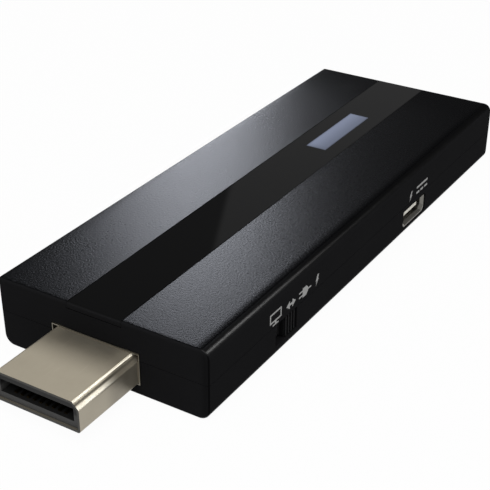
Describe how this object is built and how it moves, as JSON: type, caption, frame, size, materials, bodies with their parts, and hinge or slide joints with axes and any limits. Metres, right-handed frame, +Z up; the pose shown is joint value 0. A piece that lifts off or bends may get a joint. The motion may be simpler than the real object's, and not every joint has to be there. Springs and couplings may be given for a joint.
{
  "type": "wireless display adapter",
  "caption": "Slim black stick-shaped display adapter with a metal HDMI plug at one end, a glossy strip with a light window on top, and a slide switch and a micro-USB port on one side.",
  "frame": {"origin": "under the middle of the whole adapter, plug included, on the plane that its underside rests on", "axes": "+Y from the HDMI plug to the far end, +X to the side with the switch and the port, +Z up"},
  "size_m": [0.0338, 0.1032, 0.0105],
  "materials": {
    "textured_cover": "fine texture on top, satin sides",
    "plain_cover": "satin",
    "gloss_strip": "polished",
    "tape": "matt",
    "window": "smooth diffuser",
    "clear_plastic": "clear",
    "lamp": "moulded",
    "plug_metal": "nickel plate",
    "insulator": "moulded",
    "contact_metal": "gold plate",
    "board": "solder mask",
    "screw_metal": "zinc plate",
    "chip": "moulded",
    "sheet_metal": "tin plate",
    "thermal_pad": "soft",
    "spreader_metal": "rolled",
    "ferrite": "moulded",
    "ceramic": "fired",
    "port_metal": "tin plate",
    "tongue": "moulded",
    "knob_plastic": "fine texture"
  },
  "bodies": {
    "adapter": {"upper_cover": "textured_cover", "lower_cover": "plain_cover", "centre_strip": "gloss_strip", "strip_tape": "tape", "indicator_window": "window", "light_guide": "clear_plastic", "status_lamps": "lamp", "hdmi_shell": "plug_metal", "hdmi_collar": "plug_metal", "hdmi_core": "insulator", "hdmi_upper_contacts": "contact_metal", "hdmi_lower_contacts": "contact_metal", "circuit_board": "board", "board_screws": "screw_metal", "processor": "chip", "memory_chips": "chip", "shield_can": "sheet_metal", "thermal_pads": "thermal_pad", "heat_spreader": "spreader_metal", "flash_memory": "chip", "radio_module": "board", "radio_shield": "sheet_metal", "radio_antennas": "sheet_metal", "crystal": "sheet_metal", "power_coils": "ferrite", "power_regulator": "chip", "chip_capacitors": "ceramic", "usb_shell": "port_metal", "usb_core": "tongue", "usb_pins": "contact_metal", "switch_frame": "sheet_metal", "switch_base": "insulator", "switch_terminals": "contact_metal"},
    "slider": {"switch_knob": "knob_plastic", "switch_lever": "insulator"}
  },
  "joints": [
    {"name": "switch_slide", "type": "slide", "parent": "adapter", "child": "slider", "axis": [0, -1, 0], "range_m": [0, 0.0023]}
  ]
}
